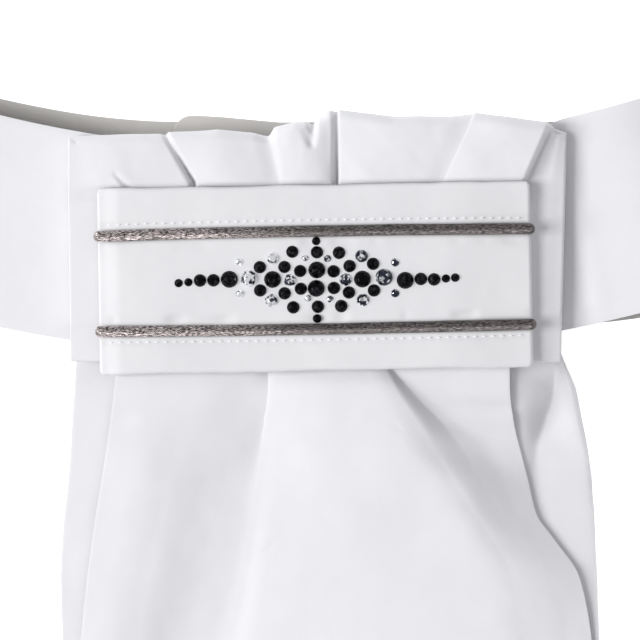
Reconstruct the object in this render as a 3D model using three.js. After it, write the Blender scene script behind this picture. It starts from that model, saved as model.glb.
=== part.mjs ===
// A ready-tied riding stock, laid flat: a closed neckband, a pleated knot panel with a padded cross band,
// two metallic cords and a motif of cut stones, and two broad tails, one over the other.
// Millimetres. +X is the wearer's left, +Y is up towards the chin, +Z is out of the surface that it lies on.
// Every place is measured from the centre of the motif, and the whole is centred on its own box at the end.
import * as THREE from 'three';
import { ConvexGeometry } from 'three/addons/geometries/ConvexGeometry.js';
import { LoftGeometry } from 'three/addons/geometries/LoftGeometry.js';

// Driving dimensions.
const PIECE_GAP = 0.3; // kept between pieces that lie on each other

const NECKBAND = {
  wall: 1.6, // interfaced cloth, folded and pressed
  height: 45.8,
  looseHeight: 12, // outer height of the flattened loop above the surface
  foldReach: 88, // from the middle to where each end of the loop starts to turn
  radius: 292.5, // of the shaped cut, at mid height
  middle: 5.8, // of the front half, above the motif
  tilt: 1.2, // degrees, of the front half
  underEnd: 14, // where the end against the surface stops
  overEnd: -33.6, // where the end that lies inside the loop stops
  rampStart: 38,
  rampEnd: 20,
  endCorner: 4, // radius of the inner end's corners
  overEndLift: 2.5, // the tip of the inner end lies higher than the strip below it
};
// The front half's top edge tucks down where it goes under the panel's left end.
const TUCK = { from: 38, deepest: 52, to: 61, depth: 2.2 };
// How much higher than the front half the back half lies, along the band.
const BACK_LIFT = [
  { along: -95, lift: 3.6 },
  { along: -70, lift: 3.9 },
  { along: -54, lift: 4.2 },
  { along: -40, lift: 4.8 },
  { along: -20, lift: 6.2 },
  { along: 0, lift: 6.3 },
  { along: 20, lift: 5.2 },
  { along: 40, lift: 2.7 },
  { along: 55, lift: 0.4 },
  { along: 71, lift: -1.5 },
  { along: 95, lift: -2.4 },
];
const CLOSURE = { thick: 1, left: -27, right: 10, height: 36 };

const PANEL = {
  left: -54.8,
  right: 55.2,
  bottom: -18.2,
  leftTaper: 0.7, // how far the side comes in at the bottom
  rightTaper: 1.1,
  front: 18.3, // height of the plain borders above the surface
  side: 1.6, // radius of the rounded sides
  bow: 0.5, // the middle is fuller than the borders
  pocketTop: -10, // the tails go up behind the panel to here
  pocketBack: 16.9,
};
// The pleats' edges, at the panel's top edge and at the cross band, with the height of the cloth
// on each side of the edge above the borders. 'top' is the height of the panel's outline there.
const PLEATS = [
  { edge: 'left border', topX: -52.2, bandX: -52.2, top: 31.4, rise: 0 },
  { edge: 'first puff', topX: -43, bandX: -41, top: 31.9, rise: 0.9 },
  { edge: 'long fold, left lip', topX: -34.6, bandX: -28.4, top: 32.2, rise: 0.9 },
  { edge: 'long fold', topX: -33.6, bandX: -27.3, top: 31.9, rise: -1.2 },
  { edge: 'long fold, right lip', topX: -32.4, bandX: -25.8, top: 32.4, rise: 1.1 },
  { edge: 'second puff', topX: -20, bandX: -17, top: 33, rise: 1.7 },
  { edge: 'small fold', topX: -10.8, bandX: -8.2, top: 31.1, rise: 0.2 },
  { edge: 'small fold lip', topX: -9.6, bandX: -7.0, top: 33.8, rise: 1.3 },
  { edge: 'notch, left', topX: -2.6, bandX: -1.5, top: 35.1, rise: 1.9 },
  { edge: 'notch', topX: -0.4, bandX: 0.6, top: 33.4, rise: 1.0 },
  { edge: 'middle fold, left lip', topX: 3.2, bandX: 3.6, top: 37.5, rise: 1.9 },
  { edge: 'middle fold', topX: 4.3, bandX: 4.5, top: 37, rise: -1.2 },
  { edge: 'middle fold, right lip', topX: 5.6, bandX: 5.6, top: 37.3, rise: 1.5 },
  { edge: 'third puff', topX: 18, bandX: 16, top: 35.8, rise: 2.1 },
  { edge: 'slant fold', topX: 31.6, bandX: 25.2, top: 36.2, rise: 0.7 },
  { edge: 'slant fold lip', topX: 33.4, bandX: 26.8, top: 36.6, rise: 1.7 },
  { edge: 'last puff', topX: 43, bandX: 36, top: 35.7, rise: 2.1 },
  { edge: 'last lip', topX: 49.6, bandX: 44.4, top: 34.8, rise: 1.6 },
  { edge: 'drop to the border', topX: 51.2, bandX: 46.6, top: 34.2, rise: -0.9 },
  { edge: 'right border', topX: 52.9, bandX: 52.6, top: 32.6, rise: 0 },
];

const BAND = {
  length: 95.3,
  width: 41,
  centre: [-0.3, 0.3],
  turn: 1, // degrees
  base: 19.15, // height of its underside above the surface
  thick: 2.4,
  edge: 1, // radius of its long edges
};
const CORD = { length: 97.1, halfWidth: 1.25, halfHeight: 1, proud: 1.2, sides: 12 };
// 'bow' is how much further from the motif a cord runs at its middle than at its ends.
const CORDS = [
  { name: 'cord_upper', across: 9.95, bow: 0.35 },
  { name: 'cord_lower', across: -11.0, bow: -0.25 },
];

const STONE = { large: 1.9, medium: 1.43, small: 0.97, tiny: 0.88 };
const STONE_HEIGHT = 0.42; // of the diameter
const STONE_TABLE = 0.52; // of the radius
const STONE_LIFT = 0.1; // the glue under a stone
// One quarter of the motif. A stone off an axis is repeated across it, and 'moved' is how far each of these
// was set from its regular place: first at -x, then at +x, and on each side the lower one first.
const MOTIF = [
  { x: 0, y: 2.02, size: 'large', colour: 'black', moved: [[-0.1, 0], [0.1, 0]] },
  { x: 0, y: 5.75, size: 'medium', colour: 'black', moved: [[0.2, -0.3], [0.2, 0.15]] },
  { x: 0, y: 8.22, size: 'small', colour: 'black', moved: [[0, -0.44], [0.1, 0.12]] },
  {
    x: 2.4, y: 4.35, size: 'tiny', colour: 'clear',
    moved: [[0.5, 0.15], [0, 0.3], [0.45, 0], [0.1, 0.15]],
  },
  {
    x: 3.65, y: 1.85, size: 'medium', colour: 'black',
    moved: [[0.2, -0.2], [0.1, 0], [0.15, -0.15], [0.15, -0.2]],
  },
  {
    x: 5.2, y: 6.0, size: 'medium', colour: 'black',
    moved: [[0, -0.1], [0, 0.1], [0.15, 0], [-0.15, -0.3]],
  },
  { x: 6.05, y: 0, size: 'medium', colour: 'clear', moved: [[0.2, -0.15], [0.3, -0.2]] },
  {
    x: 7.2, y: 2.9, size: 'medium', colour: 'black',
    moved: [[0.15, -0.1], [0.2, -0.1], [-0.1, -0.15], [0.15, -0.15]],
  },
  { x: 10.0, y: 0, size: 'large', colour: 'black', moved: [[0.35, 0.1], [0.1, -0.15]] },
  {
    x: 10.0, y: 4.6, size: 'medium', colour: 'clear',
    moved: [[0, 0.15], [0.4, 0.1], [0.15, -0.15], [0, 0.3]],
  },
  {
    x: 12.5, y: 2.7, size: 'medium', colour: 'black',
    moved: [[0.1, 0.45], [0.1, 0.15], [0.1, 0], [0, 0.45]],
  },
  { x: 15.0, y: 0, size: 'large', colour: 'clear', moved: [[0.15, 0.4], [-0.15, 0.15]] },
  {
    x: 17.1, y: 3.5, size: 'small', colour: 'clear',
    moved: [[0.2, 0.6], [0.15, 0.6], [0.15, 0.1], [0.2, -0.15]],
  },
  { x: 19.3, y: 0, size: 'large', colour: 'black', moved: [[0.15, 0.3], [0.2, -0.6]] },
  { x: 22.8, y: 0, size: 'medium', colour: 'black', moved: [[0.15, 0.15], [0.15, -0.35]] },
  { x: 25.75, y: 0, size: 'medium', colour: 'black', moved: [[0.15, 0.15], [0.1, -0.5]] },
  { x: 28.3, y: 0, size: 'small', colour: 'black', moved: [[0.15, -0.2], [0.15, -0.35]] },
  { x: 30.5, y: 0, size: 'small', colour: 'black', moved: [[0.2, -0.35], [0, -0.2]] },
];

const TAIL_WALL = 1.2;
// Distances down the tails from the motif, at which the folds below are given.
const DOWN = [11, 18.5, 24, 31, 38, 45, 52, 58, 66, 79, 110, 168];
const LOWER_LEVEL = [12.3, 12.3, 11.7, 10.1, 8.2, 6.1, 4.1, 2.7, 1.2, 0, 0, 0];
// Each row is a line that runs down the tail: where it lies across, and how high above the tail's level.
const LOWER_TAIL = [
  {
    line: 'left edge',
    across: [-52.4, -53.1, -53.4, -53.9, -54.3, -54.9, -55.7, -56.2, -56.6, -56.4, -57.5, -61.5],
    rise: [0, 0, 0, 0, 0, 0, 0, 0, 0, 0, 0, 0],
    steps: 2,
  },
  {
    line: 'under the left shoulder',
    across: [-30, -29, -28, -28, -30, -34, -37, -39, -41, -44, -48, -52],
    rise: [0.1, 0.1, 0, 0, 0, 0, 0, 0, 0, 0, 0.1, 0.1],
    steps: 3,
  },
  {
    line: 'under the left valley',
    across: [-14, -13, -12, -12.5, -15, -19, -23, -25.5, -28, -31, -36, -41],
    rise: [0.1, 0, -1.4, -2.1, -2.1, -1.7, -1.3, -0.9, -0.4, 0, 0, 0.05],
    steps: 2,
  },
  {
    line: 'under the middle fold',
    across: [-2, -2, -2, -2, -3, -5, -8, -10, -12, -14, -18, -24],
    rise: [0.1, 0, 0, 0, 0, 0, 0, 0, 0, 0, 0.1, 0.15],
    steps: 4,
  },
  {
    line: 'before the roll',
    across: [30, 33, 38, 38, 37, 36, 36, 37, 39, 41, 44, 48],
    rise: [0.05, 0, -0.6, -1.5, -2.4, -3.4, -2.1, -0.9, -0.3, 0, 0, 0.05],
    steps: 3,
  },
  {
    line: 'foot of the roll',
    across: [43, 47, 51.5, 50, 48.6, 47.8, 47.6, 48, 49.5, 51, 52, 54],
    rise: [0, 0, -2.2, -2.6, -2.8, -3.2, -2.0, -1.0, -0.3, 0, 0, 0],
    steps: 4,
  },
  {
    line: 'top of the roll',
    across: [51, 53.7, 56.5, 57.9, 59.3, 60.2, 60.8, 61.0, 61.4, 61.8, 63.5, 66.5],
    rise: [0.5, 0.8, 0.6, 0.8, 1.2, 1.6, 1.8, 1.8, 1.6, 1.2, 0.8, 0.4],
    steps: 1,
  },
  {
    line: 'right side',
    across: [51.6, 54.4, 57.3, 58.8, 60.2, 61.1, 61.7, 61.9, 62.3, 62.8, 64.5, 68],
    rise: [0.2, 0.4, 0, 0, 0.3, 0.6, 0.8, 0.9, 0.7, 0.4, 0.2, 0],
    steps: 0,
  },
];
const UPPER_TAIL = [
  {
    line: 'left edge',
    across: [-43, -43.9, -44.5, -45.4, -46.4, -47.5, -48.7, -49.6, -50.7, -52.1, -55.5, -60],
    rise: [0, 0, 0.2, 0.5, 0.7, 0.9, 1.0, 1.1, 1.2, 1.2, 1.0, 0.4],
    steps: 3,
  },
  {
    line: 'left shoulder',
    across: [-27, -26.5, -26.5, -27.5, -30.5, -34, -37.5, -40, -42.3, -45.5, -49.5, -54],
    rise: [0.4, 0.8, 1.5, 2.0, 2.4, 2.6, 2.8, 2.8, 2.8, 2.8, 2.2, 1.4],
    steps: 4,
  },
  {
    line: 'left valley',
    across: [-12.5, -12.3, -12.4, -13.0, -15.0, -18.6, -22.4, -25, -27.6, -31, -36, -41],
    rise: [0.2, -0.2, -0.9, -1.5, -1.4, -1.0, -0.6, -0.3, 0, 0.1, 0.2, 0.2],
    steps: 3,
  },
  {
    line: 'middle fold',
    across: [-9.6, -9.8, -10.0, -10.4, -10.6, -11.4, -12.8, -14, -15.2, -17, -21, -26],
    rise: [1.1, 1.5, 2.2, 2.5, 2.5, 2.7, 3.0, 3.2, 3.5, 3.7, 3.3, 2.6],
    steps: 4,
  },
  {
    line: 'crown',
    across: [2, 2.5, 3.5, 4.2, 5, 6, 7.4, 8.6, 10, 12, 14, 16],
    rise: [1.3, 1.6, 3.4, 4.6, 5.2, 5.6, 6.0, 6.2, 6.3, 6.2, 5.2, 3.8],
    steps: 3,
  },
  {
    line: 'right shoulder',
    across: [11.4, 12.4, 15, 19.4, 24.0, 28.6, 34.4, 40, 43.5, 46, 48, 50],
    rise: [1.0, 1.3, 3.2, 4.4, 4.8, 5.1, 5.2, 5.2, 5.2, 4.8, 3.8, 2.8],
    steps: 4,
  },
  {
    line: 'under the crown',
    across: [15.2, 16.2, 19.2, 24.0, 28.8, 33.2, 40.0, 46.5, 51, 54, 56, 58],
    rise: [0.3, 0.0, -0.2, -1.0, -2.0, -2.8, -1.6, 2.0, 3.8, 3.7, 3.0, 2.1],
    steps: 3,
  },
  {
    line: 'flap',
    across: [25, 26, 29.4, 34.2, 38.0, 41.6, 45.6, 50.4, 55, 57.8, 60.4, 62.8],
    rise: [0.5, 0.6, 0.3, -0.9, -1.9, -2.7, -1.6, 1.6, 3.0, 2.7, 2.2, 1.4],
    steps: 3,
  },
  {
    line: 'right edge',
    across: [42, 42.6, 42.7, 43.6, 45.2, 46.9, 48.6, 52.8, 58.2, 60.9, 63.5, 66],
    rise: [0.4, 0.5, 0.4, -0.4, -1.2, -2.2, -1.2, 1.2, 1.8, 1.4, 1.0, 0.5],
    steps: 0,
  },
];

const radians = THREE.MathUtils.degToRad;
const mix = THREE.MathUtils.lerp;
const ease = (t) => THREE.MathUtils.smoothstep(t, 0, 1);

// The value at a place between given stations, on a smooth line that doesn't overshoot them.
function along(stations, values, at) {
  const last = stations.length - 1;
  const secant = (i) => (values[i + 1] - values[i]) / (stations[i + 1] - stations[i]);
  const slope = (i) => {
    if (i === 0 || i === last) return secant(Math.min(i, last - 1));
    const before = secant(i - 1);
    const after = secant(i);
    return before * after <= 0 ? 0 : (2 * before * after) / (before + after);
  };
  let i = 0;
  while (i < last - 1 && at > stations[i + 1]) i++;
  const width = stations[i + 1] - stations[i];
  const t = THREE.MathUtils.clamp((at - stations[i]) / width, 0, 1);
  const rest = 1 - t;
  return (
    values[i] * (1 + 2 * t) * rest * rest +
    slope(i) * width * t * rest * rest +
    values[i + 1] * t * t * (3 - 2 * t) -
    slope(i + 1) * width * t * t * rest
  );
}

// Even steps from one value to another, both ends included.
function steps(from, to, count) {
  return Array.from({ length: count + 1 }, (_, i) => mix(from, to, i / count));
}

// A closed body through rings of points, with both ends capped.
function loft(rings) {
  const geometry = new LoftGeometry(rings, { capStart: true, capEnd: true });
  const reversed = rings.map((ring) => [...ring].reverse());
  return signedVolume(geometry) > 0
    ? geometry
    : new LoftGeometry(reversed, { capStart: true, capEnd: true });
}

function signedVolume(geometry) {
  const corner = [new THREE.Vector3(), new THREE.Vector3(), new THREE.Vector3()];
  const place = geometry.getAttribute('position');
  let sum = 0;
  for (let i = 0; i < geometry.index.count; i += 3) {
    corner.forEach((c, k) => c.fromBufferAttribute(place, geometry.index.getX(i + k)));
    sum += corner[0].dot(corner[1].clone().cross(corner[2])) / 6;
  }
  return sum;
}

// The neckband. A point of the loop is given by how far along the cut it is, how high up the band,
// and how far above the surface. The cut is an arc, so both halves curve up towards the ends.
const INNER_Z = NECKBAND.wall / 2;
const FRONT_Z = NECKBAND.looseHeight - NECKBAND.wall / 2;

function backLift(at) {
  const stations = BACK_LIFT.map((row) => row.along);
  const lifts = BACK_LIFT.map((row) => row.lift);
  return along(stations, lifts, at);
}

function onNeckband(at, up, z) {
  const angle = at / NECKBAND.radius;
  const reach = NECKBAND.radius - up;
  const point = new THREE.Vector3(
    reach * Math.sin(angle),
    NECKBAND.radius - reach * Math.cos(angle),
    0,
  );
  point.applyAxisAngle(new THREE.Vector3(0, 0, 1), radians(NECKBAND.tilt));
  const frontShare = ease((z - INNER_Z) / (FRONT_Z - INNER_Z));
  point.y += NECKBAND.middle + mix(backLift(at), 0, frontShare);
  point.z = z;
  return point;
}

// The strip's middle line seen from above the chin, from the end against the surface round to the inner end.
function neckbandLine() {
  const { foldReach, rampStart, rampEnd, underEnd, overEnd } = NECKBAND;
  const turn = (FRONT_Z - INNER_Z) / 2;
  const centreZ = (FRONT_Z + INNER_Z) / 2;
  const overZ = INNER_Z + NECKBAND.wall + CLOSURE.thick + 2 * PIECE_GAP;
  const run = (from, to, z, count) => steps(from, to, count).map((at) => ({ at, z }));
  const bend = (side) =>
    steps(-90, 90, 8)
      .slice(1, -1)
      .map((degrees) => ({
        at: side * (foldReach + turn * Math.cos(radians(degrees))),
        z: centreZ + turn * Math.sin(radians(degrees)),
      }));
  const ramp = steps(0, 1, 4)
    .slice(1, -1)
    .map((t) => ({ at: mix(rampStart, rampEnd, t), z: mix(INNER_Z, overZ, ease(t)) }));
  return [
    ...run(underEnd, -foldReach, INNER_Z, 7),
    ...bend(-1),
    ...run(-foldReach, TUCK.from, FRONT_Z, 9),
    ...[45, TUCK.deepest, 55, 58, TUCK.to, 74, foldReach].map((at) => ({ at, z: FRONT_Z })),
    ...bend(1).reverse(),
    ...run(foldReach, rampStart, INNER_Z, 3),
    ...ramp,
    ...run(rampEnd, overEnd + NECKBAND.endCorner, overZ, 3),
    ...[0.4, 0.75, 0.95].map((t) => ({ at: overEnd + NECKBAND.endCorner * (1 - t), z: overZ })),
  ];
}

function tuck(at) {
  const rising = ease((at - TUCK.from) / (TUCK.deepest - TUCK.from));
  const falling = ease((TUCK.to - at) / (TUCK.to - TUCK.deepest));
  return TUCK.depth * Math.min(rising, falling);
}

function neckband() {
  const line = neckbandLine();
  const half = NECKBAND.height / 2;
  const wall = NECKBAND.wall / 2;
  const crease = 0.5; // how far in from the edge the pressed fold is at its full thickness
  const rings = line.map((here, i) => {
    const before = line[Math.max(i - 1, 0)];
    const after = line[Math.min(i + 1, line.length - 1)];
    const way = new THREE.Vector2(after.at - before.at, after.z - before.z).normalize();
    const isInnerEnd = i > line.length / 2 && here.z < FRONT_Z / 2;
    const fromTip = here.at - NECKBAND.overEnd;
    const intoCorner = isInnerEnd ? Math.max(NECKBAND.endCorner - fromTip, 0) : 0;
    const cut = NECKBAND.endCorner - Math.sqrt(NECKBAND.endCorner ** 2 - intoCorner ** 2);
    const tipShare = 1 - fromTip / (NECKBAND.rampEnd - NECKBAND.overEnd);
    const lift = isInnerEnd ? NECKBAND.overEndLift * ease(tipShare) : 0;
    const reach = half - cut;
    const top = here.z === FRONT_Z ? reach - tuck(here.at) : reach;
    return [
      [top, 0.5],
      [top - crease, 1],
      [-reach + crease, 1],
      [-reach, 0.5],
      [-reach, -0.5],
      [-reach + crease, -1],
      [top - crease, -1],
      [top, -0.5],
    ].map(([up, side]) => {
      const at = here.at - way.y * side * wall;
      const z = here.z + way.x * side * wall;
      const point = onNeckband(at, up, z);
      point.y += lift;
      return point;
    });
  });
  return loft(rings);
}

function closurePad() {
  const bottom = NECKBAND.wall + PIECE_GAP;
  const half = CLOSURE.height / 2;
  const rings = steps(CLOSURE.left, CLOSURE.right, 4).map((at) => [
    onNeckband(at, half, bottom),
    onNeckband(at, half, bottom + CLOSURE.thick),
    onNeckband(at, -half, bottom + CLOSURE.thick),
    onNeckband(at, -half, bottom),
  ]);
  return loft(rings);
}

// The knot panel, as rings across it from its bottom edge to the top of the pleats.
function knotPanel() {
  const back = NECKBAND.looseHeight + PIECE_GAP;
  const pleatsFrom = 21.3; // at the cross band's top edge
  const rows = [
    { y: PANEL.bottom, back: PANEL.pocketBack, lessFront: 1, pleated: 0 },
    { y: PANEL.bottom + 0.6, back: PANEL.pocketBack, lessFront: 0.3, pleated: 0 },
    { y: PANEL.bottom + 2, back: PANEL.pocketBack, lessFront: 0, pleated: 0 },
    { y: PANEL.pocketTop - 0.2, back: PANEL.pocketBack, lessFront: 0, pleated: 0 },
    { y: PANEL.pocketTop + 0.2, back, lessFront: 0, pleated: 0 },
    { y: pleatsFrom, back, lessFront: 0, pleated: 0 },
  ];
  // Above the cross band the rows follow the uneven top edge, as a share of the way up to it.
  const upper = [
    { share: 0.14, lessFront: 0, pleated: 0.8, back },
    { share: 0.42, lessFront: 0, pleated: 1, back },
    { share: 0.72, lessFront: 0, pleated: 1, back },
    { share: 0.86, lessFront: 0.5, pleated: 0.9, back },
    { share: 0.96, lessFront: 1.7, pleated: 0.7, back: back + 0.4 },
    { share: 1, lessFront: 3.4, pleated: 0.3, back: back + 1.4 },
  ];
  const ring = (row) => {
    const share = row.share ?? 0;
    const place = (pleat) => {
      const topY = row.share === undefined ? row.y : mix(pleatsFrom, pleat.top, share);
      return { x: mix(pleat.bandX, pleat.topX, share), y: topY };
    };
    const leftY = place(PLEATS[0]).y;
    const rightY = place(PLEATS[PLEATS.length - 1]).y;
    const lowness = 1 - THREE.MathUtils.clamp((leftY - PANEL.bottom) / (pleatsFrom - PANEL.bottom), 0, 1);
    const front = PANEL.front - row.lessFront;
    const thick = front - row.back;
    const shoulder = Math.min(0.45, thick * 0.15);
    const rounding = Math.min(PANEL.side, thick * 0.4);
    const point = (x, y, z) => new THREE.Vector3(x, y, z);
    const left = PANEL.left + PANEL.leftTaper * lowness;
    const right = PANEL.right - PANEL.rightTaper * lowness;
    const bow = (x) => PANEL.bow * (1 - (x / right) ** 2);
    return [
      point(left, leftY, mix(row.back, front, 0.35)),
      point(left, leftY, front - rounding),
      point(left + 0.5, leftY, front - shoulder),
      ...PLEATS.map((pleat) => {
        const { x, y } = place(pleat);
        return point(x, y, front + pleat.rise * row.pleated + bow(x));
      }),
      point(right - 0.5, rightY, front - shoulder),
      point(right, rightY, front - rounding),
      point(right, rightY, mix(row.back, front, 0.35)),
      point(right - 0.8, rightY, row.back),
      point(left + 0.8, leftY, row.back),
    ];
  };
  return loft([...rows, ...upper].map(ring));
}

// The cross band: a padded strip with a channel for each cord, as rings along it.
function knotBand() {
  const half = BAND.width / 2;
  const channel = CORD.halfWidth + PIECE_GAP;
  const floor = BAND.thick + CORD.proud - 2 * CORD.halfHeight - PIECE_GAP;
  const side = [
    [half, 0.5],
    [half - 0.3, BAND.thick - 0.7],
    [half - BAND.edge, BAND.thick - 0.2],
    [half - 2.4, BAND.thick],
  ];
  const channels = CORDS.map(({ across }) => [
    [across + channel, BAND.thick],
    [across + channel * 0.8, floor],
    [across - channel * 0.8, floor],
    [across - channel, BAND.thick],
  ]);
  const top = [...side, ...channels.flat(), ...side.map(([y, z]) => [-y, z]).reverse()];
  const bottom = [
    [-half + 0.4, 0],
    [half - 0.4, 0],
  ];
  const stations = [
    { x: -0.5, thin: 0.45, narrow: 0.8 },
    { x: -0.496, thin: 0.8, narrow: 0.3 },
    { x: -0.485, thin: 1, narrow: 0 },
    { x: 0.485, thin: 1, narrow: 0 },
    { x: 0.496, thin: 0.8, narrow: 0.3 },
    { x: 0.5, thin: 0.45, narrow: 0.8 },
  ];
  const rings = stations.map(({ x, thin, narrow }) =>
    [...top, ...bottom].map(
      ([y, z]) => new THREE.Vector3(x * BAND.length, y * (1 - narrow / half), z * thin),
    ),
  );
  return loft(rings);
}

// A cord with round ends that dip over the ends of the cross band.
function bandCord(bow) {
  const half = CORD.length / 2;
  const centreZ = BAND.thick + CORD.proud - CORD.halfHeight;
  const ends = [
    { in: 0, size: 0.35, dip: 0.9 },
    { in: 0.35, size: 0.75, dip: 0.72 },
    { in: 0.95, size: 0.96, dip: 0.42 },
    { in: 1.9, size: 1, dip: 0.12 },
    { in: 3.2, size: 1, dip: 0 },
  ];
  const stations = [
    ...ends.map((end) => ({ ...end, x: -half + end.in })),
    ...steps(-half + 16, half - 16, 4).map((x) => ({ x, size: 1, dip: 0 })),
    ...[...ends].reverse().map((end) => ({ ...end, x: half - end.in })),
  ];
  const rings = stations.map(({ x, size, dip }) =>
    steps(0, 360, CORD.sides)
      .slice(0, -1)
      .map((degrees) => {
        const middle = bow * (1 - (x / half) ** 2);
        const across = middle + Math.cos(radians(degrees)) * CORD.halfWidth * size;
        const up = Math.sin(radians(degrees)) * CORD.halfHeight * size;
        return new THREE.Vector3(x, across, centreZ - dip + up);
      }),
  );
  return loft(rings);
}

// A flat-backed stone: a round girdle of sixteen corners, a ring of eight main facets and a table.
function cutStone(radius) {
  const height = 2 * radius * STONE_HEIGHT;
  const ring = (count, share, z, turn) =>
    steps(0, 360, count)
      .slice(0, -1)
      .map((degrees) => {
        const angle = radians(degrees + turn);
        return new THREE.Vector3(radius * share * Math.cos(angle), radius * share * Math.sin(angle), z);
      });
  return new ConvexGeometry([
    ...ring(16, 1, 0, 0),
    ...ring(8, 0.84, height * 0.5, 22.5),
    ...ring(8, STONE_TABLE, height, 0),
  ]);
}

// A tail is a wall of cloth through sections across it. Between two of its lines the cloth eases from
// one height to the other.
function tail(lines, level, rows) {
  const half = TAIL_WALL / 2;
  const rings = rows.map((down) => {
    const base = along(DOWN, level, down) + half;
    const knots = lines.map((line) => ({
      x: along(DOWN, line.across, down),
      z: base + along(DOWN, line.rise, down),
      steps: line.steps,
    }));
    const middle = knots.slice(0, -1).flatMap((knot, i) =>
      steps(0, 1, knot.steps)
        .slice(0, -1)
        .map((t) => [mix(knot.x, knots[i + 1].x, t), mix(knot.z, knots[i + 1].z, ease(t))]),
    );
    const end = knots[knots.length - 1];
    middle.push([end.x, end.z]);
    const sides = middle.map(([x, z], i) => {
      const before = middle[Math.max(i - 1, 0)];
      const after = middle[Math.min(i + 1, middle.length - 1)];
      const way = new THREE.Vector2(after[0] - before[0], after[1] - before[1]).normalize();
      return { x, z, outX: -way.y * half, outZ: way.x * half };
    });
    return [
      ...sides.map((s) => new THREE.Vector3(s.x + s.outX, -down, s.z + s.outZ)),
      ...sides.reverse().map((s) => new THREE.Vector3(s.x - s.outX, -down, s.z - s.outZ)),
    ];
  });
  return loft(rings);
}

const TAIL_ROWS = [...steps(11, 79, 15), ...steps(88, 168, 7)];
const LOWER_ROWS = [...steps(11, 79, 12), ...steps(97, 168, 4)];
const upperLevel = LOWER_LEVEL.map((level) => level + TAIL_WALL + PIECE_GAP);

// Materials.
const cloth = (color) => new THREE.MeshStandardMaterial({ color, roughness: 0.85, metalness: 0 });
const whiteCloth = cloth(0xf1f1f4);
const bandCloth = cloth(0xeeeef1);
const hookAndLoop = cloth(0xe6e4e2);
const metallicThread = new THREE.MeshStandardMaterial({ color: 0x7a716c, roughness: 0.4, metalness: 0.7 });
const blackStone = new THREE.MeshStandardMaterial({ color: 0x08080a, roughness: 0.05, metalness: 0.1 });
const clearStone = new THREE.MeshStandardMaterial({ color: 0xe8ecf2, roughness: 0.03, metalness: 0.9 });

function piece(name, geometry, material) {
  const mesh = new THREE.Mesh(geometry, material);
  mesh.name = name;
  return mesh;
}

// The pieces that lie on the knot panel, turned together.
function crossBandGroup() {
  const group = new THREE.Group();
  const band = piece('knot_band', knotBand(), bandCloth);
  band.position.set(BAND.centre[0], BAND.centre[1], 0);
  group.add(band);
  for (const { name, across, bow } of CORDS) {
    const cord = piece(name, bandCord(bow), metallicThread);
    cord.position.set(BAND.centre[0], BAND.centre[1] + across, 0);
    group.add(cord);
  }
  group.add(motifGroup());
  group.rotation.z = radians(BAND.turn);
  group.position.z = BAND.base;
  return group;
}

function motifGroup() {
  const group = new THREE.Group();
  const counts = { black: 0, clear: 0 };
  for (const { x, y, size, colour, moved } of MOTIF) {
    const places = (x === 0 ? [x] : [-x, x]).flatMap((across) =>
      (y === 0 ? [y] : [-y, y]).map((up) => [across, up]),
    );
    places.forEach(([across, up], i) => {
      counts[colour] += 1;
      const name = `${colour}_stone_${String(counts[colour]).padStart(2, '0')}`;
      const stone = piece(name, cutStone(STONE[size]), colour === 'black' ? blackStone : clearStone);
      stone.position.set(across + moved[i][0], up + moved[i][1], BAND.thick + STONE_LIFT);
      group.add(stone);
    });
  }
  return group;
}

const stock = new THREE.Group();
stock.add(
  piece('neckband', neckband(), whiteCloth),
  piece('closure_pad', closurePad(), hookAndLoop),
  piece('tail_lower', tail(LOWER_TAIL, LOWER_LEVEL, LOWER_ROWS), whiteCloth),
  piece('tail_upper', tail(UPPER_TAIL, upperLevel, TAIL_ROWS), whiteCloth),
  piece('knot_panel', knotPanel(), whiteCloth),
  crossBandGroup(),
);

// The frame's origin is the middle of the underside of the whole.
const box = new THREE.Box3().setFromObject(stock, true);
stock.position.set(-(box.min.x + box.max.x) / 2, -(box.min.y + box.max.y) / 2, -box.min.z);

export default stock;
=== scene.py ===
"""A ready-tied riding stock, laid flat on a pale table and seen from straight above.

Lengths in the tables are millimetres from the middle of the stone motif, with x to the wearer's left, y up
towards the chin and z up from the table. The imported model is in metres, so at() places each point.
"""
import math

import bmesh
import bpy
from mathutils import Matrix, Vector, noise


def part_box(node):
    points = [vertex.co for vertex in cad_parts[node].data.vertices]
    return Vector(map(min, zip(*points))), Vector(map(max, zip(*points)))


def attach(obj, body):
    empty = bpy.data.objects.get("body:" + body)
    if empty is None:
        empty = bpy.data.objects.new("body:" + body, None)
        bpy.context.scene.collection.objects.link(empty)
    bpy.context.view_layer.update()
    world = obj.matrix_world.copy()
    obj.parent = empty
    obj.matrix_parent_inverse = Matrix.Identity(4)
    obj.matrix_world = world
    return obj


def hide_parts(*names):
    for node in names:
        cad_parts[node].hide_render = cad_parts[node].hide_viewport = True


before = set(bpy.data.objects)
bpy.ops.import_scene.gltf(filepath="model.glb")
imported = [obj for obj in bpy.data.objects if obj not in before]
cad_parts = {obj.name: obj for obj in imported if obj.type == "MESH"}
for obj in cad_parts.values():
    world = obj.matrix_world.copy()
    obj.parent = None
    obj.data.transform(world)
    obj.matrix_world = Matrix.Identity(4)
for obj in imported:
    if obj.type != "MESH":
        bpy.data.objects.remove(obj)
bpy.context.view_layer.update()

MM = 0.001
BODY = "root"

# The cross band lies a little askew, and everything is placed from the middle of the motif on it.
BAND_TURN = math.radians(1.0)
BAND_MIDDLE = (-0.3, 0.3)


def turned(x, y):
    """A place on the cross band, in its own directions, as a place in the picture."""
    c, s = math.cos(BAND_TURN), math.sin(BAND_TURN)
    return x * c - y * s, x * s + y * c


band_low, band_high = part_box("knot_band")
_middle = turned(*BAND_MIDDLE)
MOTIF = Vector((
    (band_low[0] + band_high[0]) / 2 - _middle[0] * MM,
    (band_low[1] + band_high[1]) / 2 - _middle[1] * MM,
    0.0,
))


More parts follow.
